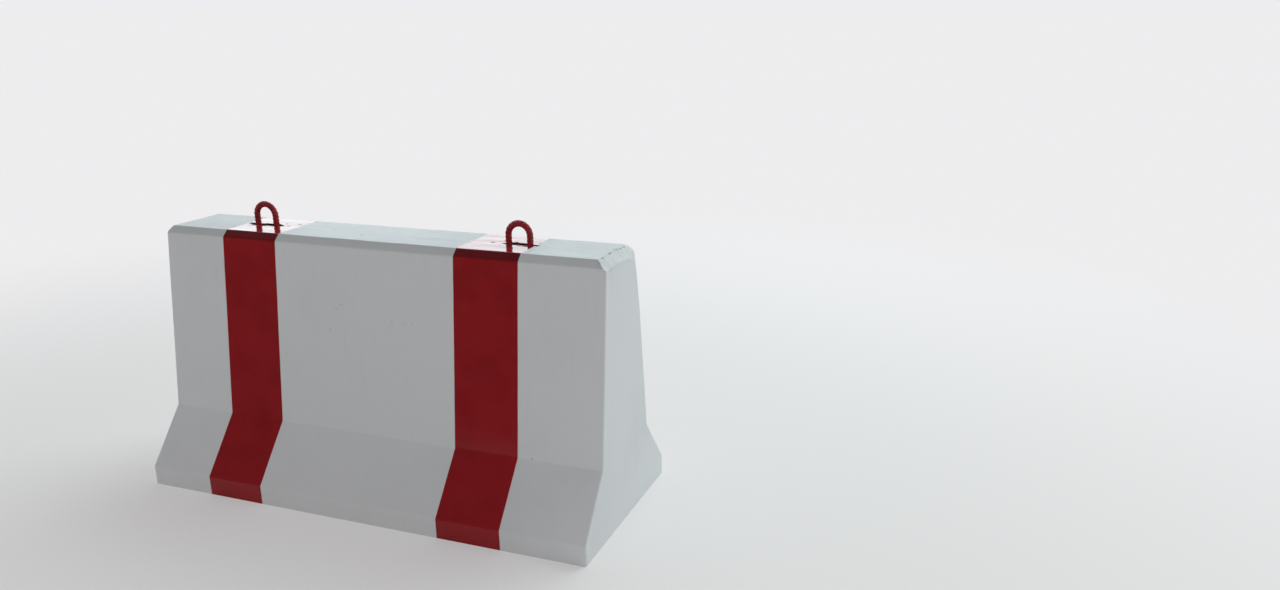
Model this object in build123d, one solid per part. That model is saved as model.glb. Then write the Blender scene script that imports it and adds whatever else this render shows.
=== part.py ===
from build123d import *
import os

# A precast concrete road barrier with two lifting loops of round bar cast into its top.
# Sizes are millimetres. X runs along the barrier, Y across it, Z is up. The origin is on
# the floor, under the middle of the barrier.

# Concrete block: a steep-sided wall on a splayed foot with an upright toe
barrier_length = 1500.0
barrier_height = 800.0
base_width = 605.0
toe_height = 60.0       # upright part of the foot
break_height = 222.0    # where the splayed foot meets the steep side
break_width = 345.0     # thickness of the wall there
top_width = 220.0       # thickness at the top, before its edges are bevelled

# Bevels left by the strips in the mould
long_bevel = 19.0       # along the two long edges of the top
end_bevel = 25.0        # across the two ends of the top
corner_bevel = 3.0      # up the corners of the end faces

# Lifting loops: one bar bent by hand near each end, standing along the middle of the top
loop_bar = 18.0         # bar diameter
loop_embedment = 250.0  # length of each leg below the top of the block
left_loop_in = 302.0    # left end face to the middle of the left loop
left_loop_width = 88.0  # over the outsides of its two legs
left_loop_rise = 75.0   # its top above the concrete
right_loop_in = 312.0   # right end face to the middle of the right loop
right_loop_width = 86.0
right_loop_rise = 70.0

# Slot that the mould leaves round each loop
slot_length = 130.0
slot_width = 24.0
slot_depth = 10.0


def concrete_profile():
    """The section across the barrier, before its long edges are bevelled."""
    half = [
        (0, 0),
        (base_width / 2, 0),
        (base_width / 2, toe_height),
        (break_width / 2, break_height),
        (top_width / 2, barrier_height),
        (0, barrier_height),
    ]
    with BuildSketch(Plane.YZ) as section:
        with BuildLine():
            Polyline(*half)
            mirror(about=Plane.YZ)
        make_face()
    return section.sketch


def end_wedge(side):
    """What the end bevel takes off the top edge of the end at side -1 or +1."""
    x = side * barrier_length / 2
    with BuildSketch(Plane.XZ) as section:
        with BuildLine():
            Polyline(
                (x, barrier_height - end_bevel),
                (x, barrier_height),
                (x - side * end_bevel, barrier_height),
                close=True,
            )
        make_face()
    return extrude(section.sketch, amount=base_width, both=True)


def plain_block():
    """The wall and foot with all the bevels of the mould, without anything for the loops."""
    block = extrude(concrete_profile(), amount=barrier_length / 2, both=True)
    long_edges = block.edges().filter_by(Axis.X).group_by(Axis.Z)[-1]
    block = chamfer(long_edges, long_bevel)
    corners = ShapeList()
    for end in block.faces().filter_by(Axis.X):
        corners += end.edges().sort_by(Axis.Z)[1:]
    block = chamfer(corners, corner_bevel)
    for side in (-1, 1):
        block -= end_wedge(side)
    return block


def lifting_loop(x, width, rise):
    """One bar bent to an upright U upside down, with its middle at x along the barrier."""
    leg = (width - loop_bar) / 2
    spring = barrier_height + rise - loop_bar / 2 - leg
    foot = barrier_height - loop_embedment
    with BuildPart() as loop:
        with BuildLine() as route:
            Line((x - leg, 0, foot), (x - leg, 0, spring))
            ThreePointArc((x - leg, 0, spring), (x, 0, spring + leg), (x + leg, 0, spring))
            Line((x + leg, 0, spring), (x + leg, 0, foot))
        with BuildSketch(Plane(origin=(x - leg, 0, foot), z_dir=(0, 0, 1))):
            Circle(loop_bar / 2)
        sweep(path=route.wire())
    return loop.part


def loop_slot(x):
    """The recess round a loop: as wide as the gap in the mould that the bar stood in."""
    with BuildSketch(Plane.XY.offset(barrier_height - slot_depth)) as outline:
        with Locations((x, 0)):
            SlotOverall(slot_length, slot_width)
    return extrude(outline.sketch, amount=slot_depth + long_bevel)


left_middle = left_loop_in - barrier_length / 2
right_middle = barrier_length / 2 - right_loop_in
left_loop = lifting_loop(left_middle, left_loop_width, left_loop_rise)
right_loop = lifting_loop(right_middle, right_loop_width, right_loop_rise)

concrete_block = plain_block()
for middle in (left_middle, right_middle):
    concrete_block -= loop_slot(middle)
for loop in (left_loop, right_loop):
    concrete_block -= loop

os.makedirs("parts", exist_ok=True)
export_step(concrete_block, "parts/concrete_block.step")
export_step(left_loop, "parts/lifting_loop_left.step")
export_step(right_loop, "parts/lifting_loop_right.step")
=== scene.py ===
import math
import bpy
import numpy as np
from mathutils import Matrix, Vector, noise


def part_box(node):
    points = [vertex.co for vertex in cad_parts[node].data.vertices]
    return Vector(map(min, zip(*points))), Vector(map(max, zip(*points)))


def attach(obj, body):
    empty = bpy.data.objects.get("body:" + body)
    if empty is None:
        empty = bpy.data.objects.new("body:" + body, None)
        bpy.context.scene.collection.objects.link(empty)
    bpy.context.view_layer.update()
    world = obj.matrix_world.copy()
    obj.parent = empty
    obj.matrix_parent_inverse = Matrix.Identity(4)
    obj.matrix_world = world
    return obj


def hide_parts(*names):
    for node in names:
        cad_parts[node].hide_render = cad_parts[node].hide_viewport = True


# Precast concrete road barrier with two lifting loops. Everything is in metres.
# X runs along the barrier, Y across it, the floor is at z = 0. The camera sees the side at -Y
# and the right end, at +X.

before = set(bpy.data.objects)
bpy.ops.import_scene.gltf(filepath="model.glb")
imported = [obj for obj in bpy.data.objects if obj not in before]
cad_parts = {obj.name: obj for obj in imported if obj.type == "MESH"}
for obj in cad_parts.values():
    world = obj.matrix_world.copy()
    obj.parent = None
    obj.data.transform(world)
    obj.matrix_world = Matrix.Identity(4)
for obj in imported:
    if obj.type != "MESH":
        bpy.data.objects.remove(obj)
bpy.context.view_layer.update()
halfLength, halfBase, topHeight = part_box("concrete_block")[1]
loopNodes = {"ribbedLoopLeft": "lifting_loop_left", "ribbedLoopRight": "lifting_loop_right"}
loopPlaces = [sum(corner.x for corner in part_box(nodeName)) / 2 for nodeName in loopNodes.values()]
print("frame loaded, nodes:", sorted(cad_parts))

# Where the camera stands, in the barrier's own axes
shot = {
    "place": (1.7804, -2.5123, 1.4818),
    "turn": 21.29,       # degrees to the left of straight across the barrier
    "tilt": 16.5,        # degrees down
    "roll": 1.00,        # degrees clockwise
    "lens": 28.8,        # millimetres, as the sensor's width is
    "sensor": 36.0,
    "farthest": 200,     # how far the camera sees
}


def makeCamera():
    data = bpy.data.cameras.new("shotCamera")
    data.lens, data.sensor_width = shot["lens"], shot["sensor"]
    data.clip_end = shot["farthest"]
    camera = bpy.data.objects.new("shotCamera", data)
    bpy.context.scene.collection.objects.link(camera)
    turn = Matrix.Rotation(math.radians(shot["turn"]), 3, "Z")
    tilt = Matrix.Rotation(math.radians(90 - shot["tilt"]), 3, "X")
    roll = Matrix.Rotation(math.radians(-shot["roll"]), 3, "Z")
    camera.matrix_world = Matrix.Translation(shot["place"]) @ (turn @ tilt @ roll).to_4x4()
    bpy.context.scene.camera = camera


makeCamera()
print("camera placed")

# Small tools for meshes

seedSteps = (7.31, -3.77, 5.13)   # how far each seed shifts the noise
hair = 1e-5                       # places nearer than this count as one


def spaced(stops):
    # stops are (place, step up to the next place); the step of the last one isn't used
    places = []
    for (start, step), (end, _) in zip(stops, stops[1:]):
        count = max(1, round((end - start) / step))
        places += [start + (end - start) * i / count for i in range(count)]
    return np.array(places + [stops[-1][0]])


def ease(values, low, high):
    # 0 up to low, 1 from high on, and a soft rise between them
    t = np.clip((values - low) / (high - low), 0, 1)
    return t * t * (3 - 2 * t)


def ripple(points, layers):
    # smooth noise in layers: size of the lumps (one number or three), share, seed
    total = 0
    for size, share, seed in layers:
        shift = Vector([seed * step for step in seedSteps])
        total = total + share * np.array([noise.noise(Vector(p) + shift) for p in points / np.array(size)])
    return total


def ringStack(count, around):
    # faces between closed rings of points, one ring after another, and one face over the first
    faces = []
    for k in range(count - 1):
        for m in range(around):
            n = (m + 1) % around
            faces.append((k * around + m, k * around + n, (k + 1) * around + n, (k + 1) * around + m))
    faces.append(tuple(range(around - 1, -1, -1)))
    return faces


def makeObject(name, points, faces):
    mesh = bpy.data.meshes.new(name)
    mesh.from_pydata([tuple(p) for p in points], [], faces)
    mesh.validate()
    mesh.shade_smooth()
    made = bpy.data.objects.new(name, mesh)
    bpy.context.scene.collection.objects.link(made)
    return made


def pointValues(mesh, name):
    # three numbers for each point: its place is "co" and its normal is "normal"
    flat = np.zeros(len(mesh.vertices) * 3, np.float32)
    mesh.vertices.foreach_get(name, flat)
    return flat.reshape(-1, 3).astype(float)


def addMask(mesh, name, values):
    # a number for each point, which a material reads by its name
    mask = mesh.attributes.new(name, "FLOAT", "POINT")
    mask.data.foreach_set("value", np.asarray(values, np.float32))


# The concrete block

block = {
    "toeHeight": 0.060,
    "breakHeight": 0.222,
    "breakHalf": 0.1725,      # half the wall's thickness at the break
    "topHalf": 0.110,         # half the thickness at the top, before the bevels
    "longBevel": 0.019,       # along the two long top edges
    "cornerBevel": 0.003,     # up the corners of the end faces
    "edgeSoftness": 0.0022,   # how far the paint rounds an edge

    # Waves in the faces: how high they are, and their lumps (size, share, seed)
    "faceWave": 0.0004,       # left by the mould
    "faceLumps": [(0.22, 1, 3), (0.07, 0.5, 4)],
    "topWave": 0.0006,        # left by the float
    "topLumps": [((0.16, 0.03, 1), 1, 5)],
    "evenFoot": 0.02,         # up to this height there are none

    # The bevel across each end of the top, at places across the barrier: how far it reaches
    # along and down, and how round it turns into the top and into the end. Then how far its
    # edges wander and how high its grit is. The right one is broken off at both corners.
    "endBevels": {
        -1: {
            "across": (-0.110, -0.085, 0.0, 0.110),
            "along": (0.009, 0.014, 0.021, 0.0245),
            "down": (0.022, 0.023, 0.025, 0.026),
            "topRound": (1.0, 1.0, 1.0, 1.0),
            "endRound": (1.1, 1.1, 1.1, 1.1),
            "wander": 0.0010,
            "grit": 0.0001,
        },
        1: {
            "across": (-0.110, -0.091, -0.066, -0.016, 0.033, 0.060, 0.082, 0.092),
            "along": (0.031, 0.031, 0.029, 0.027, 0.025, 0.0245, 0.028, 0.038),
            "down": (0.0265, 0.029, 0.028, 0.027, 0.032, 0.037, 0.050, 0.087),
            "topRound": (0.95, 1.0, 1.0, 1.0, 1.1, 1.2, 1.6, 3.0),
            "endRound": (0.95, 1.1, 1.3, 1.4, 1.4, 1.5, 1.7, 1.8),
            "wander": 0.0020,
            "grit": 0.0006,
        },
    },
    "bevelReach": (0.06, 0.10),   # no end bevel reaches further along or down than this
    "bevelRim": 0.02,         # share of its reach that still counts as plain face
    "wanderLumps": [(0.024, 1, 8), (0.010, 0.5, 9)],
    "wanderDown": 0.6,        # the wander down the end, as a share of that along the top
    "gritLumps": [(0.010, 1, 10), (0.0045, 0.7, 11)],
    "gritSink": 0.3,          # more grit is torn out than stands up

    # The upright corners of the ends, by side along and across: how wide each is worn below
    # the first of the two heights and above the second
    "cornerWear": {
        (-1, -1): (0.003, 0.0035),
        (1, -1): (0.003, 0.003),
        (1, 1): (0.003, 0.010),
        (-1, 1): (0.003, 0.005),
    },
    "wearHeights": (0.60, 0.74),

    # Pits where the skin of the top broke away along the right bevel: in from the end, across,
    # size, how much longer across than along
    "edgePits": [
        (0.0292, -0.019, 0.0056, 2.8),
        (0.0320, 0.023, 0.0052, 1.2),
        (0.0264, 0.029, 0.0054, 1.1),
        (0.0228, 0.046, 0.0036, 1.4),
        (0.0215, 0.067, 0.0042, 1.6),
        (0.0290, -0.069, 0.0040, 1.7),
        (0.0126, 0.035, 0.0022, 1.0),
        (0.0077, 0.027, 0.0018, 1.0),
        (0.0043, 0.071, 0.0020, 1.0),
    ],
    "edgePitDepth": 0.5,      # share of the pit's size
    # Pits of the floated top: along from each loop's middle, across, size
    "topPits": [
        (-0.058, 0.023, 0.0040),
        (-0.078, 0.019, 0.0028),
        (0.060, -0.021, 0.0034),
        (0.052, 0.028, 0.0030),
        (-0.050, -0.027, 0.0026),
        (0.074, 0.004, 0.0030),
        (-0.083, -0.008, 0.0032),
    ],
    "topPitDepth": 0.4,
    "pitBank": 0.7,           # share of a pit's size that its bank takes up
    "pitZone": 0.03,          # pits stay within this height of the top
    # Chips out of the right end and its near corner: in from the end, across, down from the
    # top, size
    "chips": [
        (0.0245, -0.098, 0.0060, 0.0042),
        (0.0195, -0.109, 0.0110, 0.0036),
        (0.0150, -0.107, 0.0160, 0.0028),
        (0.0000, -0.079, 0.0335, 0.0058),
        (0.0020, -0.105, 0.0220, 0.0034),
    ],
    "chipReach": 1.6,         # of the chip's size
    "chipDepth": 0.45,

    # The mesh is fine where there is relief, and wide on the plain faces
    "steps": {
        # along the barrier
        "end": 0.0020,
        "slot": 0.0026,
        "length": 0.011,
        # across the top
        "acrossSlot": 0.0017,
        "acrossTop": 0.0027,
        # up the sides
        "floor": 0.003,
        "foot": 0.014,
        "footEdge": 0.002,
        "wall": 0.019,
        "broken": 0.005,
        "bevel": 0.0021,
    },
    "endZone": 0.046,
    "slotMargin": (0.008, 0.009),   # along and across
    "edgeMargin": 0.009,      # on both sides of an edge of the foot
    "brokenZone": 0.096,      # how far below the top the broken corner begins
    "bevelZone": 0.052,       # and the bevels
    "rimShare": 0.93,         # where the rim of the top begins, as a share of its half width
    "rimRows": 3,             # in the rim, and as many in the corner bevel

    # The slots that the mould leaves round the loops, with mortar in them
    "slot": {
        "reach": ((0.067, 0.058), (0.051, 0.062)),   # left and right of each loop's middle
        "width": 0.024,
        "taper": 0.030,       # length over which each end narrows
        "narrowing": 0.8,     # share of the width that is lost there
        "depth": 0.010,
        "drift": 0.003,       # how far its middle line snakes sideways
        "driftTurns": 60,     # radians of that for each metre
        "driftStart": (0, 2),     # where that begins, in the left slot and in the right one
        "torn": 0.0036,       # how ragged its outline is
        "tornLumps": [(0.013, 0.6, 1), (0.005, 0.4, 2)],
        "crumbs": 0.0026,     # height of the mortar lumps in it
        "crumbLumps": [((0.011, 0.006, 1), 1, 6), (0.0042, 0.7, 7)],
        "reliefReach": 0.03,  # nothing further out than this is torn or has crumbs
        # how far inside the outline something begins and is full; less than zero is outside
        "bank": (-0.0008, 0.0024),
        # the near-black paint: bare mortar, with painted shade in the slot and on its lips
        "blackening": (-0.0030, -0.0005),
        "lip": 0.0020,        # ridge of mortar along its edges
        "lipMiddle": 0.0028,  # outside the outline
        "lipHalf": 0.0030,
        "lipRagged": (0.5, 0.9),  # its share without crumbs, and how much they change it
        # painted mortar between the right loop's legs
        "lump": {
            "along": 0.009,   # from the loop's middle
            "across": -0.0065,
            "size": 0.0065,
            "stretch": 1.6,
            "bank": 0.8,
            "fills": 0.75,    # share of the slot's depth
            "painted": 0.8,   # share of the mortar's colour that its paint hides
        },
    },
}
slot = block["slot"]


def wallHalf(z):
    heights = [0, block["toeHeight"], block["breakHeight"], topHeight]
    halves = [halfBase, halfBase, block["breakHalf"], block["topHalf"]]
    return np.interp(z, heights, halves)


def outlineHalf(z):
    # half the width of the block at height z, with its long bevel and rounded edges
    bevelStart = topHeight - block["longBevel"]
    shifts = (-1, -0.5, 0, 0.5, 1)
    total = 0
    for shift in shifts:
        height = z + shift * block["edgeSoftness"]
        total = total + wallHalf(height) - np.maximum(0, height - bevelStart)
    return total / len(shifts)


def blockLines():
    step = block["steps"]
    alongMargin, acrossMargin = block["slotMargin"]
    # x lines from end to end, fine at the ends and the slots
    reach = max(max(pair) for pair in slot["reach"]) + alongMargin
    left, right = loopPlaces
    endStart = halfLength - block["endZone"]
    xLines = spaced([
        (-halfLength, step["end"]),
        (-endStart, step["length"]),
        (left - reach, step["slot"]),
        (left + reach, step["length"]),
        (right - reach, step["slot"]),
        (right + reach, step["length"]),
        (endStart, step["end"]),
        (halfLength, 0),
    ])
    # y lines as shares of the half width up to 1, and from 1 to 2 the corner zone
    wide = block["topHalf"] - block["longBevel"] - block["cornerBevel"]
    half = spaced([
        (0, step["acrossSlot"] / wide),
        ((slot["width"] / 2 + acrossMargin) / wide, step["acrossTop"] / wide),
        (block["rimShare"], (1 - block["rimShare"]) / block["rimRows"]),
        (1, 1 / block["rimRows"]),
        (2, 0),
    ])
    yLines = np.concatenate([-half[:0:-1], half])
    # z lines from the floor to the top
    margin = block["edgeMargin"]
    zLines = spaced([
        (0, step["floor"]),
        (margin, step["foot"]),
        (block["toeHeight"] - margin, step["footEdge"]),
        (block["toeHeight"] + margin, step["foot"]),
        (block["breakHeight"] - margin, step["footEdge"]),
        (block["breakHeight"] + margin, step["wall"]),
        (topHeight - block["brokenZone"], step["broken"]),
        (topHeight - block["bevelZone"], step["bevel"]),
        (topHeight, 0),
    ])
    return xLines, yLines, zLines


def acrossPlaces(yLines, z):
    # the y lines at height z; the corner zone keeps its width
    half, zone = outlineHalf(z), block["cornerBevel"]
    outer = np.sign(yLines) * (half - zone + (np.abs(yLines) - 1) * zone)
    return np.where(np.abs(yLines) <= 1, yLines * (half - zone), outer)


def blockMesh():
    # a stack of closed rings, with a grid over the last one
    xLines, yLines, zLines = blockLines()
    nx, ny, nz = len(xLines), len(yLines), len(zLines)
    around = 2 * (nx - 1) + 2 * (ny - 1)
    points, faces = [], ringStack(nz, around)
    for z in zLines:
        y = acrossPlaces(yLines, z)
        points += [(a, y[0], z) for a in xLines[:-1]] + [(xLines[-1], b, z) for b in y[:-1]]
        points += [(a, y[-1], z) for a in xLines[:0:-1]] + [(xLines[0], b, z) for b in y[:0:-1]]
    # the grid's rim is the last ring, so its points are shared
    last = (nz - 1) * around
    index = np.zeros((nx, ny), int)
    index[:, 0] = last + np.arange(nx)
    index[-1, :] = last + (nx - 1) + np.arange(ny)
    index[:, -1] = last + (nx - 1) + (ny - 1) + np.arange(nx)[::-1]
    index[0, 1:] = last + around - np.arange(1, ny)
    index[0, 0] = last
    y = acrossPlaces(yLines, topHeight)
    for i in range(1, nx - 1):
        for j in range(1, ny - 1):
            index[i, j] = len(points)
            points.append((xLines[i], y[j], topHeight))
    for i in range(nx - 1):
        for j in range(ny - 1):
            faces.append((index[i, j], index[i + 1, j], index[i + 1, j + 1], index[i, j + 1]))
    return np.array(points), [tuple(int(v) for v in face) for face in faces]


def cutShare(u, w, topRound, endRound):
    # how many times as far out as the bevel's curve a point lies, found by halving the range
    # that it lies in: 1 on the curve and inside it
    farthest, halvings, onCurve = 3.0, 22, 1.0001
    low, high = np.ones(len(u)), np.full(len(u), farthest)
    for halving in range(halvings):
        middle = (low + high) / 2
        outside = (u / middle) ** topRound + (w / middle) ** endRound > 1
        low, high = np.where(outside, middle, low), np.where(outside, high, middle)
    return np.where(low > onCurve, low, 1)


def bevelEnds(points):
    # rounds the square top edge of each end down to its bevel; returns how deep the cut went,
    # less than zero at the left end
    share = points[:, 1] / outlineHalf(points[:, 2])
    depth = np.zeros(len(points))
    reachAlong, reachDown = block["bevelReach"]
    for side, bevel in block["endBevels"].items():
        near = (points[:, 0] * side > halfLength - reachAlong) & (points[:, 2] > topHeight - reachDown)
        x, y, z = points[near, 0] * side, points[near, 1], points[near, 2]
        edge = np.column_stack([y, 0 * y + side, 0 * y])
        wander = bevel["wander"] * ripple(edge, block["wanderLumps"])
        along = np.interp(y, bevel["across"], bevel["along"]) + wander
        down = np.interp(y, bevel["across"], bevel["down"]) + block["wanderDown"] * wander
        topRound = np.interp(y, bevel["across"], bevel["topRound"])
        endRound = np.interp(y, bevel["across"], bevel["endRound"])
        u = np.maximum(0, (x - halfLength + along) / along)
        w = np.maximum(0, (z - topHeight + down) / down)
        over = cutShare(u, w, topRound, endRound)
        cutX = side * (halfLength - along + u / over * along)
        cutZ = topHeight - down + w / over * down
        points[near, 0] = np.where(over > 1, cutX, points[near, 0])
        points[near, 2] = np.where(over > 1, cutZ, z)
        depth[near] = np.where(np.minimum(u, w) > block["bevelRim"], side * over, 0)
    points[:, 1] = share * outlineHalf(points[:, 2])
    return depth


def bevelCorners(points):
    # pulls the square corners of each ring in to the bevel that the corner is worn to
    for (endSide, wallSide), (low, high) in block["cornerWear"].items():
        here = (points[:, 0] * endSide > 0) & (points[:, 1] * wallSide > 0)
        x, y, z = np.abs(points[here]).T
        corner = low + (high - low) * ease(z, *block["wearHeights"])
        u = x - (halfLength - corner)
        v = y - (outlineHalf(z) - corner)
        over = np.where((u > 0) & (v > 0), np.maximum(0, u + v - corner), 0) / np.maximum(u + v, hair)
        points[here, 0] -= endSide * u * over
        points[here, 1] -= wallSide * v * over


def surfaceWave(points, onTop, cutDepth):
    # how far each point stands out of its plain face, and the grit along the bevelled ends
    wave = block["faceWave"] * ripple(points, block["faceLumps"])
    wave[onTop] = block["topWave"] * ripple(points[onTop], block["topLumps"])
    wave[points[:, 2] < block["evenFoot"]] = 0
    for side, bevel in block["endBevels"].items():
        gritty = cutDepth * side > 0
        wave[gritty] += bevel["grit"] * (ripple(points[gritty], block["gritLumps"]) - block["gritSink"])
    return wave


def slotDistance(points):
    # distance from the nearest slot's torn outline, less than zero inside it
    onRight = (points[:, 0] > 0).astype(int)
    along = points[:, 0] - np.array(loopPlaces)[onRight]
    reach = np.array(slot["reach"])[onRight, (along > 0).astype(int)]
    away = np.abs(along)
    half = slot["width"] / 2 * (1 - slot["narrowing"] * ease(away, reach - slot["taper"], reach))
    turned = along * slot["driftTurns"] + np.array(slot["driftStart"])[onRight]
    drift = slot["drift"] * np.sin(turned)
    distance = np.hypot(np.maximum(0, away - reach + half), points[:, 1] - drift) - half
    near = distance < slot["reliefReach"]
    distance[near] += slot["torn"] * ripple(points[near], slot["tornLumps"])
    return distance


def sinkSlots(points, moved, onTop):
    # lowers the slots, raises the crumbs and lips of mortar; returns where the slot is painted near black:
    # bare mortar and painted shade
    distance = slotDistance(points)
    near = onTop & (distance < slot["reliefReach"])
    crumbs = np.zeros(len(points))
    crumbs[near] = ripple(points[near], slot["crumbLumps"])
    lump = slot["lump"]
    along = points[:, 0] - loopPlaces[1] - lump["along"]
    away = np.hypot(along / lump["stretch"], points[:, 1] - lump["across"])
    onLump = ease(1 - away / lump["size"], 0, lump["bank"])
    sunk = onTop * ease(-distance, *slot["bank"])
    depth = slot["depth"] * (1 - lump["fills"] * onLump)
    ridge = np.exp(-((distance - slot["lipMiddle"]) / slot["lipHalf"]) ** 2)
    plain, change = slot["lipRagged"]
    lip = onTop * ridge * np.clip(plain + change * crumbs, 0, 2)
    moved[:, 2] += slot["lip"] * lip - sunk * (depth - slot["crumbs"] * crumbs)
    # painted near black: the bare mortar, with painted shade in the slot
    return onTop * ease(-distance, *slot["blackening"]) * (1 - lump["painted"] * onLump)


def sinkPits(points, moved):
    # lowers the pits along the right bevel and in the floated top; returns where they are
    x, y, z = points.T
    pits = []
    for inwards, across, size, stretch in block["edgePits"]:
        pits.append((halfLength - inwards, across, size, stretch, block["edgePitDepth"]))
    for middle in loopPlaces:
        for along, across, size in block["topPits"]:
            pits.append((middle + along, across, size, 1, block["topPitDepth"]))
    pitted = np.zeros(len(points))
    for along, across, size, stretch, depth in pits:
        away = np.hypot(x - along, (y - across) / stretch)
        hollow = (z > topHeight - block["pitZone"]) * ease(1 - away / size, 0, block["pitBank"])
        pitted = np.maximum(pitted, hollow)
        moved[:, 2] -= hollow * size * depth
    return pitted


def knockChips(points, normals, moved):
    # sinks a hollow into the faces round each chip's middle
    for inwards, across, down, size in block["chips"]:
        place = np.array((halfLength - inwards, across, topHeight - down))
        away = np.linalg.norm(points - place, axis=1)
        hollow = ease(1 - away / (block["chipReach"] * size), 0, 1)
        moved -= normals * (hollow * size * block["chipDepth"])[:, None]


def wearBlock(mesh, cutDepth):
    points = pointValues(mesh, "co")
    normals = pointValues(mesh, "normal")
    onTop = (points[:, 2] > topHeight - hair) & (cutDepth == 0)
    moved = points + normals * surfaceWave(points, onTop, cutDepth)[:, None]
    mortarAndSlotShade = sinkSlots(points, moved, onTop)
    pitted = sinkPits(points, moved)
    knockChips(points, normals, moved)
    mesh.vertices.foreach_set("co", np.asarray(moved, np.float32).ravel())
    mesh.update()
    addMask(mesh, "mortarAndSlotShade", mortarAndSlotShade)
    addMask(mesh, "pit", pitted)
    addMask(mesh, "broken", cutDepth > 0)


def sharpenFloorRim(mesh):
    # the floor face is flat, so its rim stays a sharp edge
    heights = pointValues(mesh, "co")[:, 2]
    ends = np.zeros(len(mesh.edges) * 2, int)
    mesh.edges.foreach_get("vertices", ends)
    sharp = mesh.attributes.new("sharp_edge", "BOOLEAN", "EDGE")
    sharp.data.foreach_set("value", heights[ends.reshape(-1, 2)].max(1) < hair)


def makeBlock():
    points, faces = blockMesh()
    cutDepth = bevelEnds(points)
    bevelCorners(points)
    made = makeObject("paintedBlock", points, faces)
    wearBlock(made.data, cutDepth)
    sharpenFloorRim(made.data)
    triangles = sum(len(face.vertices) - 2 for face in made.data.polygons)
    print("block:", len(points), "points,", triangles, "triangles")
    return made


paintedBlock = makeBlock()

# The lifting loops

loop = {
    "coreShare": 0.970,       # of the bar's radius, between the ribs
    "ribHeight": 0.0013,
    "ribPitch": 0.0112,
    "ribHalf": 0.0021,        # half the width of a rib
    "ribSlant": 0.55,         # how far a rib runs along the bar for each metre round it
    "ribFade": 0.5,           # a lower one keeps more of a rib's height beside the seams
    "ribStart": (0.004, 0.008),     # how far each loop's ribs are shifted along its bar
    "seamHeight": 0.0009,     # the two ribs along the bar
    "seamHalf": 0.0017,
    "skinWave": 0.00012,      # unevenness of the bar's skin
    "skinLumps": (140, 2),    # how many lumps to a metre along the bar, and round it
    "lean": (-0.0018, 0.0006),      # how far the top of each loop is bent along the barrier
    "around": 44,             # points round the bar
    "step": 0.0008,           # from one ring of points to the next where the bar shows
    "hiddenStep": 0.02,
    "shownBelow": 0.012,      # the fine rings begin this far below the slot's floor
}


def loopRoute(low, high):
    # places along the middle of the bar, each with the bar's outward side and the run up to it
    radius = (high.y - low.y) / 2
    middle = (low.x + high.x) / 2
    bend = (high.x - low.x) / 2 - radius
    spring = high.z - radius - bend
    left, right = Vector((-1, 0, 0)), Vector((1, 0, 0))
    shown = topHeight - slot["depth"] - loop["shownBelow"]
    legs = spaced([(low.z, loop["hiddenStep"]), (shown, loop["step"]), (spring, 0)])
    places = [(Vector((middle - bend, 0, z)), left, z - low.z) for z in legs]
    turns = round(math.pi * bend / loop["step"])
    for i in range(1, turns):
        angle = math.pi * i / turns
        out = Vector((-math.cos(angle), 0, math.sin(angle)))
        places.append((Vector((middle, 0, spring)) + out * bend, out, spring - low.z + bend * angle))
    bendEnd = spring - low.z + math.pi * bend
    places += [(Vector((middle + bend, 0, z)), right, bendEnd + spring - z) for z in legs[::-1]]
    return places, radius


def ribHeight(run, angle, radius):
    # height of the bar's ribs at a run along the bar and an angle round it
    half = 0 if math.sin(angle) >= 0 else loop["ribPitch"] / 2
    fold = (angle % math.pi) - math.pi / 2
    phase = (run - half - fold * radius * loop["ribSlant"]) % loop["ribPitch"]
    phase = min(phase, loop["ribPitch"] - phase)
    rib = math.exp(-(phase / loop["ribHalf"]) ** 2) * abs(math.sin(angle)) ** loop["ribFade"]
    side = min(angle % math.pi, math.pi - angle % math.pi) * radius
    seam = math.exp(-(side / loop["seamHalf"]) ** 2)
    return max(rib * loop["ribHeight"], seam * loop["seamHeight"]), rib


def makeLoop(name, nodeName, lean, ribStart):
    low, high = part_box(nodeName)
    places, radius = loopRoute(low, high)
    core = radius * loop["coreShare"]
    lumpsAlong, lumpsRound = loop["skinLumps"]
    across = Vector((0, 1, 0))
    around = loop["around"]
    points, crest = [], []
    for spot, out, run in places:
        up = max(0, (spot.z - topHeight) / (high.z - topHeight))
        bent = Vector((lean * up * up, 0, 0))
        for m in range(around):
            angle = 2 * math.pi * m / around
            side = out * math.cos(angle) + across * math.sin(angle)
            height, rib = ribHeight(run + ribStart, angle, radius)
            height += loop["skinWave"] * noise.noise(spot * lumpsAlong + side * lumpsRound)
            points.append(spot + bent + side * (core + height))
            crest.append(rib)
    # the rings run the other way round than the block's, so each face is turned over
    faces = ringStack(len(places), around)
    faces.append(tuple(range(len(points) - around, len(points))))
    made = makeObject(name, points, [face[::-1] for face in faces])
    addMask(made.data, "ribCrest", crest)
    print(name + ":", len(points), "points")
    return made


ribbedLoops = []
for (name, nodeName), lean, ribStart in zip(loopNodes.items(), loop["lean"], loop["ribStart"]):
    ribbedLoops.append(makeLoop(name, nodeName, lean, ribStart))

# Small tools for shader nodes: a value is a number, a colour or another node's output

grainRoughness = 0.55   # how strong each finer layer of a grain is


def node(tree, kind, inputs=None, **settings):
    made = tree.nodes.new("ShaderNode" + kind)
    for key, value in settings.items():
        setattr(made, key, value)
    for key, value in (inputs or {}).items():
        if isinstance(value, bpy.types.NodeSocket):
            tree.links.new(value, made.inputs[key])
        else:
            made.inputs[key].default_value = value
    return made


def mathChain(tree, operation, values):
    # one math node for each value after the first
    made = values[0]
    for value in values[1:]:
        made = node(tree, "Math", {0: made, 1: value}, operation=operation).outputs[0]
    return made


def add(tree, *values):
    return mathChain(tree, "ADD", values)


def multiply(tree, *values):
    return mathChain(tree, "MULTIPLY", values)


def highest(tree, *values):
    return mathChain(tree, "MAXIMUM", values)


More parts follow.
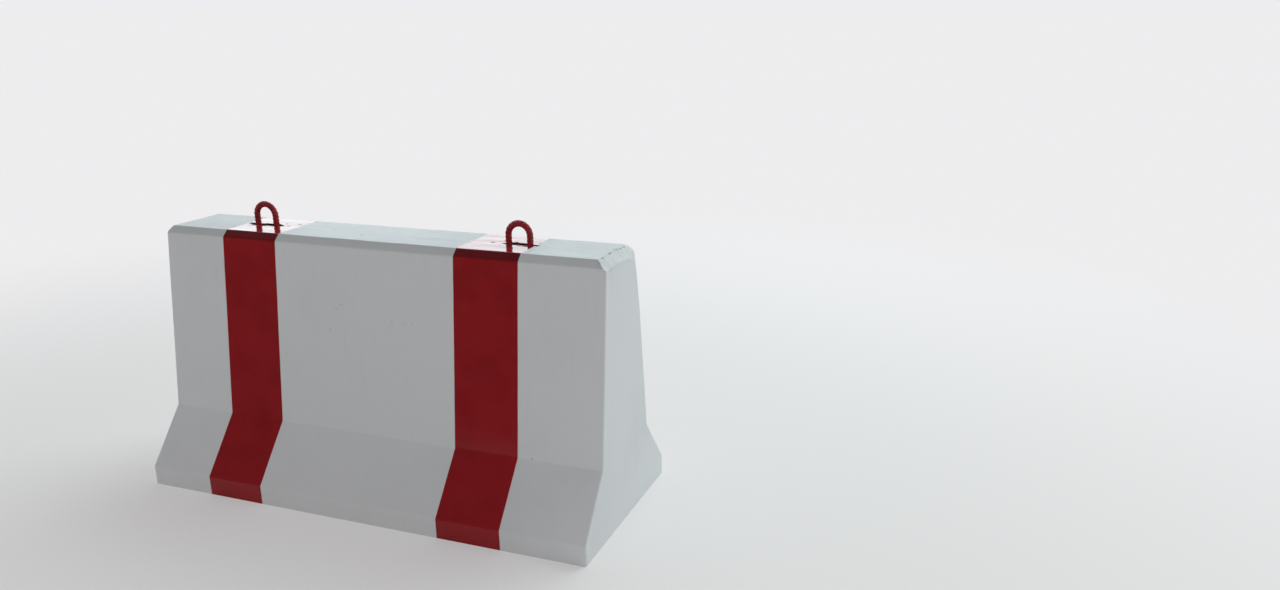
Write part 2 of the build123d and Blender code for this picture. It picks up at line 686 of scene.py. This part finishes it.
def absolute(tree, value):
    return node(tree, "Math", {0: value}, operation="ABSOLUTE").outputs[0]


def between(tree, value, low, high, start=0.0, end=1.0):
    # start where the value is at low, end where it is at high, and a soft rise between them
    spread = {"Value": value, "From Min": low, "From Max": high, "To Min": start, "To Max": end}
    return node(tree, "MapRange", spread, interpolation_type="SMOOTHSTEP").outputs[0]


def blendValues(tree, factor, a, b):
    return node(tree, "Mix", {0: factor, 2: a, 3: b}).outputs[0]


def fullColour(colour):
    # a written colour gets its fourth number
    return colour if isinstance(colour, bpy.types.NodeSocket) else (*colour, 1)


def blendColours(tree, factor, a, b, how="MIX"):
    inputs = {0: factor, 6: fullColour(a), 7: fullColour(b)}
    return node(tree, "Mix", inputs, data_type="RGBA", blend_type=how).outputs[2]


def darker(tree, factor, colour, share):
    # the colour times share where the factor is 1
    return blendColours(tree, factor, colour, (share, share, share), "MULTIPLY")


def grainNoise(tree, place, scale, detail, stretch=(1, 1, 1)):
    # a stretch below 1 draws the grain out along that axis
    mapped = node(tree, "Mapping", {"Vector": place, "Scale": stretch}).outputs[0]
    inputs = {"Vector": mapped, "Scale": scale, "Detail": detail, "Roughness": grainRoughness}
    return node(tree, "TexNoise", inputs).outputs[0]


def grainSet(tree, place, grains):
    return {name: grainNoise(tree, place, *values) for name, values in grains.items()}


def meshMask(tree, name):
    return node(tree, "Attribute", attribute_name=name).outputs["Fac"]


def newMaterial(name):
    # an empty material, its node tree, and the place on the object
    material = bpy.data.materials.new(name)
    material.use_nodes = True
    tree = material.node_tree
    tree.nodes.clear()
    return material, tree, node(tree, "TexCoord").outputs["Object"]


def finishSurface(tree, colour, rough, relief, specular):
    # relief is in metres
    bump = node(tree, "Bump", {"Height": relief, "Strength": 1.0, "Distance": 1.0}).outputs[0]
    inputs = {"Base Color": colour, "Roughness": rough, "Normal": bump, "Specular IOR Level": specular}
    surface = node(tree, "BsdfPrincipled", inputs).outputs[0]
    node(tree, "OutputMaterial", {"Surface": surface})


# Paint on the concrete: white all over, and two red stripes across the sides and the top

blockPaint = {
    "white": (0.695, 0.725, 0.737),
    "whiteWorn": (0.595, 0.625, 0.628),
    "red": (0.310, 0.011, 0.015),
    "redDeep": (0.268, 0.009, 0.012),
    "bleed": (0.70, 0.50, 0.50),       # faint red along the stripes' edges
    # near black: bare mortar darkened further by painted shade in the slot
    "mortarAndSlotShade": (0.022, 0.019, 0.018),
    "hollow": (0.27, 0.28, 0.27),      # painted shade in the pits, and the colour of the marks
    "bare": (0.36, 0.35, 0.33),        # the unpainted underside
    "dustyWhite": 0.78,                # share of the colour that is left on the long bevels, which is painted shade
    "dustyRed": 0.45,
    "dentedWhite": 0.80,               # and in the small dents of the floated top
    "dustBand": (0.0240, 0.0145),      # how far below the top the painted shade of the long bevels begins and is full

    "stripes": [(-0.5269, -0.3304), (0.2851, 0.4887)],   # from and to, along the barrier
    "edgeWander": 0.0016,
    "edgeBlur": 0.0003,                # half the width over which a stripe's edge changes
    "bleedWidth": 0.004,

    # Which way a face looks, from where it begins to count to where it counts in full
    "facing": {
        "end": (0.80, 0.90),
        "side": (0.35, 0.55),
        "top": (0.75, 0.92),
        "underside": (-0.6, -0.9),
    },
    # Grains of the paint: scale, detail, stretch
    "grains": {
        "cloud": (3.2, 5),
        "streak": (60, 4, (0.10, 1, 1)),
        "mottle": (26, 4),
        "dent": (95, 3, (0.45, 1, 1)),
        "brushed": (55, 4, (1, 1, 0.05)),
        "speckle": (420, 2),
        "stripeEdge": (9, 2),
        "bleed": (70, 3),
        "redPatch": (11, 4),
        "gloss": (30, 3),
        "skin": (160, 3),
        "grit": (300, 4),
        "rolled": (380, 2, (0.35, 1, 1)),
    },
    # What wears the white: grain, where it begins, where it is full, share, on the top alone
    "wear": [
        ("cloud", 0.48, 0.78, 0.35, False),
        ("streak", 0.50, 0.72, 0.20, True),
        ("mottle", 0.45, 0.75, 0.35, True),
        ("brushed", 0.52, 0.75, 0.14, False),
    ],
    # Each from a grain: where it begins, where it is full, and sometimes its values there
    "speckled": (0.66, 0.74, 0, 0.25),
    "dented": (0.65, 0.73),
    "dentPatches": (0.50, 0.60),       # of the mottle
    "bleeding": (0.35, 0.7, 0.05, 0.3),
    "redPatches": (0.42, 0.72),
    "whiteRoughness": (0.3, 0.7, 0.52, 0.66),
    "redRoughness": (0.35, 0.7, 0.10, 0.17),
    "mortarRoughness": 0.9,
    "specular": 0.45,
    # Heights of the relief
    "floatMarks": (0.0005, 0.00015),   # on the white, on the red
    "skinHeight": 0.00009,
    "brushHeight": 0.00012,
    "gritHeight": 0.0016,
    "stripeHeight": 0.00015,
    "dentHeight": -0.0004,
    "rolledHeight": 0.00010,

    # Small chips and stains: middle, reach along, across and up, strength
    "marks": [
        ((0.351, 0.001, 0.800), (0.0100, 0.0085, 0.02), 0.85),
        ((-0.353, 0.035, 0.800), (0.0100, 0.0065, 0.02), 0.60),
        ((-0.075, -0.029, 0.800), (0.0070, 0.0130, 0.02), 0.45),
        ((-0.052, 0.048, 0.800), (0.0240, 0.0050, 0.02), 0.20),
        ((-0.097, -0.131, 0.608), (0.0150, 0.02, 0.0040), 0.16),
        ((-0.114, -0.132, 0.595), (0.0110, 0.02, 0.0050), 0.16),
        ((-0.138, -0.139, 0.530), (0.0060, 0.02, 0.0075), 0.22),
        ((0.078, -0.135, 0.572), (0.0050, 0.02, 0.0110), 0.12),
        ((0.119, -0.135, 0.573), (0.0050, 0.02, 0.0120), 0.12),
        ((0.149, -0.135, 0.573), (0.0040, 0.02, 0.0100), 0.14),
        ((0.534, -0.172, 0.2256), (0.0032, 0.02, 0.0042), 0.75),
    ],
    "markCore": 0.4,                   # share of its reach where a mark has its full strength
    "pitShadeStrength": 0.8,                # of the painted shade in the pits that are in the mesh
}


def marksMask(tree, place):
    marks = []
    for middle, reach, strength in blockPaint["marks"]:
        away = node(tree, "VectorMath", {0: place, 1: middle}, operation="SUBTRACT").outputs[0]
        away = node(tree, "VectorMath", {0: away, 1: reach}, operation="DIVIDE").outputs[0]
        away = node(tree, "VectorMath", {0: away}, operation="LENGTH").outputs["Value"]
        marks.append(between(tree, away, 1.0, blockPaint["markCore"], 0.0, strength))
    return highest(tree, *marks)


def stripeMasks(tree, along, wander):
    # 1 inside a stripe, and the same with the stripe a little wider
    moved = add(tree, along, multiply(tree, add(tree, wander, -0.5), blockPaint["edgeWander"]))
    blur, bleed = blockPaint["edgeBlur"], blockPaint["bleedWidth"]
    inside, wider = [], []
    for start, end in blockPaint["stripes"]:
        away = absolute(tree, add(tree, moved, -(start + end) / 2))
        half = (end - start) / 2
        inside.append(between(tree, away, half + blur, half - blur))
        wider.append(between(tree, away, half + bleed, half))
    return highest(tree, *inside), highest(tree, *wider)


def blockMasks(tree, place, grain):
    masks = {name: meshMask(tree, name) for name in ("mortarAndSlotShade", "pit", "broken")}
    along, _, height = node(tree, "SeparateXYZ", {0: place}).outputs
    # the way that the face looks
    facing = blockPaint["facing"]
    look = node(tree, "NewGeometry").outputs["Normal"]
    lookX, lookY, lookZ = node(tree, "SeparateXYZ", {0: look}).outputs
    offEnds = between(tree, absolute(tree, lookX), *facing["end"], 1, 0)
    onSide = between(tree, absolute(tree, lookY), *facing["side"])
    masks["top"] = between(tree, lookZ, *facing["top"])
    masks["underside"] = between(tree, lookZ, *facing["underside"])
    # the stripes, which leave the ends white
    inside, masks["nearStripe"] = stripeMasks(tree, along, grain["stripeEdge"])
    masks["red"] = multiply(tree, inside, offEnds)
    # small dents of the floated top, in patches
    dented = between(tree, grain["dent"], *blockPaint["dented"])
    patches = between(tree, grain["mottle"], *blockPaint["dentPatches"])
    masks["dents"] = multiply(tree, dented, masks["top"], patches)
    # the long bevels are painted darker: painted shade
    low, high = [topHeight - below for below in blockPaint["dustBand"]]
    masks["dust"] = multiply(tree, between(tree, height, low, high), onSide)
    # painted shade in the pits
    pits = multiply(tree, masks["pit"], blockPaint["pitShadeStrength"])
    masks["flaws"] = highest(tree, marksMask(tree, place), pits)
    return masks


def whitePaint(tree, grain, masks):
    # a little cloudy, brushed down the sides and floated along the top
    worn = []
    for name, low, high, share, topAlone in blockPaint["wear"]:
        layer = between(tree, grain[name], low, high, 0.0, share)
        worn.append(multiply(tree, masks["top"], layer) if topAlone else layer)
    colour = blendColours(tree, add(tree, *worn), blockPaint["white"], blockPaint["whiteWorn"])
    speckled = between(tree, grain["speckle"], *blockPaint["speckled"])
    colour = blendColours(tree, speckled, colour, blockPaint["whiteWorn"])
    colour = darker(tree, masks["dents"], colour, blockPaint["dentedWhite"])
    bleeding = multiply(tree, masks["nearStripe"], between(tree, grain["bleed"], *blockPaint["bleeding"]))
    colour = blendColours(tree, bleeding, colour, blockPaint["bleed"])
    # painted shade on the long bevels
    return darker(tree, masks["dust"], colour, blockPaint["dustyWhite"])


def redPaint(tree, grain, masks):
    patches = between(tree, grain["redPatch"], *blockPaint["redPatches"])
    colour = blendColours(tree, patches, blockPaint["red"], blockPaint["redDeep"])
    # painted shade on the red of the long bevels
    return darker(tree, masks["dust"], colour, blockPaint["dustyRed"])


def blockColour(tree, grain, masks):
    white = whitePaint(tree, grain, masks)
    colour = blendColours(tree, masks["red"], white, redPaint(tree, grain, masks))
    # painted shade in the pits, and the marks
    colour = blendColours(tree, masks["flaws"], colour, blockPaint["hollow"])
    # the slot near black: bare mortar and painted shade
    colour = blendColours(tree, masks["mortarAndSlotShade"], colour, blockPaint["mortarAndSlotShade"])
    return blendColours(tree, masks["underside"], colour, blockPaint["bare"])


def blockRoughness(tree, grain, masks):
    # the red is shiny enamel, the white is dull, and the mortar, the pits and the marks are dull in both
    dull = between(tree, grain["cloud"], *blockPaint["whiteRoughness"])
    shiny = between(tree, grain["gloss"], *blockPaint["redRoughness"])
    painted = blendValues(tree, masks["red"], dull, shiny)
    mortarAndSlotShade = multiply(tree, masks["mortarAndSlotShade"], blockPaint["mortarRoughness"])
    return highest(tree, painted, mortarAndSlotShade, masks["flaws"])


def blockRelief(tree, grain, masks):
    floatMarks = between(tree, masks["red"], 0, 1, *blockPaint["floatMarks"])
    gritty = highest(tree, masks["broken"], masks["mortarAndSlotShade"])
    layers = [
        (grain["streak"], floatMarks, masks["top"]),
        (grain["skin"], blockPaint["skinHeight"]),
        (grain["brushed"], blockPaint["brushHeight"]),
        (grain["grit"], blockPaint["gritHeight"], gritty),
        (masks["red"], blockPaint["stripeHeight"]),
        (masks["dents"], blockPaint["dentHeight"]),
        # the red was rolled on along the top
        (masks["red"], masks["top"], grain["rolled"], blockPaint["rolledHeight"]),
    ]
    return add(tree, *[multiply(tree, *layer) for layer in layers])


def paintedConcrete():
    material, tree, place = newMaterial("paintedConcrete")
    grain = grainSet(tree, place, blockPaint["grains"])
    masks = blockMasks(tree, place, grain)
    colour = blockColour(tree, grain, masks)
    rough = blockRoughness(tree, grain, masks)
    finishSurface(tree, colour, rough, blockRelief(tree, grain, masks), blockPaint["specular"])
    return material


# Paint on the loops: glossy red, paler in patches on the crests of the ribs

loopPaint = {
    "red": (0.32, 0.016, 0.022),
    "redDeep": (0.20, 0.009, 0.013),
    "paleCrest": (0.42, 0.10, 0.09),
    "paleCrestShare": 0.7,
    "specular": 0.5,
    "skinHeight": 0.0003,
    # Scale and detail of each grain
    "grains": {
        "patch": (45, 4),
        "crestFleck": (190, 3),
        "gloss": (90, 3),
        "skin": (240, 3),
    },
    # Where each begins, where it is full, and sometimes its values there
    "patches": (0.4, 0.65),
    "paleOnCrest": (0.5, 0.95),
    "paleCrestPatches": (0.56, 0.66),
    "roughness": (0.3, 0.7, 0.22, 0.42),
}


def enamelledBar():
    material, tree, place = newMaterial("enamelledBar")
    grain = grainSet(tree, place, loopPaint["grains"])
    patches = between(tree, grain["patch"], *loopPaint["patches"])
    colour = blendColours(tree, patches, loopPaint["red"], loopPaint["redDeep"])
    # paler in patches on the rib crests
    onCrest = between(tree, meshMask(tree, "ribCrest"), *loopPaint["paleOnCrest"])
    inPatches = between(tree, grain["crestFleck"], *loopPaint["paleCrestPatches"])
    paleCrest = multiply(tree, onCrest, inPatches, loopPaint["paleCrestShare"])
    colour = blendColours(tree, paleCrest, colour, loopPaint["paleCrest"])
    rough = between(tree, grain["gloss"], *loopPaint["roughness"])
    relief = multiply(tree, grain["skin"], loopPaint["skinHeight"])
    finishSurface(tree, colour, rough, relief, loopPaint["specular"])
    return material


def dress(piece, material, nodeName):
    piece.data.materials.append(material)
    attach(piece, "root")
    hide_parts(nodeName)


dress(paintedBlock, paintedConcrete(), "concrete_block")
barPaint = enamelledBar()
for ribbedLoop, nodeName in zip(ribbedLoops, loopNodes.values()):
    dress(ribbedLoop, barPaint, nodeName)
print("pieces dressed")

# Studio: a plain pale floor, soft light from above and behind, a pale surround

studio = {
    "floorColour": (0.82, 0.805, 0.795),
    "floorRoughness": 0.85,
    "floorHalf": 60.0,
    # Distances over which the floor fades into the surround
    "mirroredFade": (0.7, 1.3),      # in reflections
    "shownFade": (1.3, 4.5),         # as the camera sees it
    "shownNearby": 0.35,             # how far it has faded nearer than that, as the camera sees it

    # The surround as light: how strong it is near the horizon and overhead, and how steeply up
    # a direction looks where it is the one and the other (0 is level, 1 is straight up)
    "fill": (0.98, 0.25),
    "fillSteepness": (0.05, 0.75),
    "fillTint": (1.0, 0.96, 0.965),
    # The surround as it is seen: by the camera and by reflections from behind the barrier, and
    # by reflections from in front of it
    "shown": 0.86,
    "front": 0.06,
    "frontToBack": (-0.25, 0.30),    # from where to where across the front becomes the back
    "shownTint": (0.99, 0.985, 1.0),
    "mirroredTint": (0.89, 0.98, 1.09),   # as the glossy red reflects it

    "lampTint": (0.865, 1.0, 1.0),
    # name: place, aimed at, width, height, watts, seen in glossy paint or not
    "lamps": {
        "skyPanel": ((2.7, 5.2, 6.1), (0.0, 0.0, 0.5), 7.0, 6.0, 420, False),
        "horizonPanel": ((-2.6, 7.0, 2.4), (0.0, 0.0, 0.7), 9.0, 2.8, 140, True),
    },
}


def surroundRays(tree, across):
    # which rays see the surround, and how bright and in which tint; those that light the
    # object don't see it. Across is a place on the floor, or how far across a direction looks.
    rays = node(tree, "LightPath").outputs
    byCamera = rays["Is Camera Ray"]
    seen = highest(tree, byCamera, rays["Is Glossy Ray"])
    mirrored = between(tree, across, *studio["frontToBack"], studio["front"], studio["shown"])
    level = highest(tree, mirrored, multiply(tree, byCamera, studio["shown"]))
    tint = blendColours(tree, byCamera, studio["mirroredTint"], studio["shownTint"])
    return seen, level, tint, byCamera


def makeFloor():
    half = studio["floorHalf"]
    corners = [(-half, -half, 0), (half, -half, 0), (half, half, 0), (-half, half, 0)]
    floor = makeObject("studioFloor", corners, [(0, 1, 2, 3)])
    material, tree, place = newMaterial("floorPaint")
    far = node(tree, "VectorMath", {0: place}, operation="LENGTH").outputs["Value"]
    across = node(tree, "SeparateXYZ", {0: place}).outputs[1]
    seen, level, tint, byCamera = surroundRays(tree, across)
    mirrored = between(tree, far, *studio["mirroredFade"])
    shown = between(tree, far, *studio["shownFade"], studio["shownNearby"], 1.0)
    fade = multiply(tree, blendValues(tree, byCamera, mirrored, shown), seen)
    paint = {"Base Color": fullColour(studio["floorColour"]), "Roughness": studio["floorRoughness"]}
    plain = node(tree, "BsdfPrincipled", paint).outputs[0]
    glow = node(tree, "Emission", {"Color": tint, "Strength": level}).outputs[0]
    surface = node(tree, "MixShader", {0: fade, 1: plain, 2: glow}).outputs[0]
    node(tree, "OutputMaterial", {"Surface": surface})
    floor.data.materials.append(material)


def makeSurround():
    world = bpy.data.worlds.new("surround")
    bpy.context.scene.world = world
    world.use_nodes = True
    tree = world.node_tree
    tree.nodes.clear()
    direction = node(tree, "TexCoord").outputs["Generated"]
    _, across, up = node(tree, "SeparateXYZ", {0: direction}).outputs
    seen, level, tint, _ = surroundRays(tree, across)
    fill = between(tree, up, *studio["fillSteepness"], *studio["fill"])
    light = node(tree, "Background", {"Color": fullColour(studio["fillTint"]), "Strength": fill}).outputs[0]
    view = node(tree, "Background", {"Color": tint, "Strength": level}).outputs[0]
    surface = node(tree, "MixShader", {0: seen, 1: light, 2: view}).outputs[0]
    node(tree, "OutputWorld", {"Surface": surface})


def makeLamps():
    for name, (place, aim, width, height, watts, mirrored) in studio["lamps"].items():
        lamp = bpy.data.lights.new(name, "AREA")
        lamp.shape = "RECTANGLE"
        lamp.size, lamp.size_y = width, height
        lamp.energy = watts
        lamp.color = studio["lampTint"]
        made = bpy.data.objects.new(name, lamp)
        bpy.context.scene.collection.objects.link(made)
        made.location = place
        made.rotation_mode = "QUATERNION"
        made.rotation_quaternion = (Vector(aim) - Vector(place)).to_track_quat("-Z", "Y")
        made.visible_camera = False
        made.visible_glossy = mirrored


makeFloor()
makeSurround()
makeLamps()
bpy.context.scene.view_settings.view_transform = "Standard"
print("studio built")
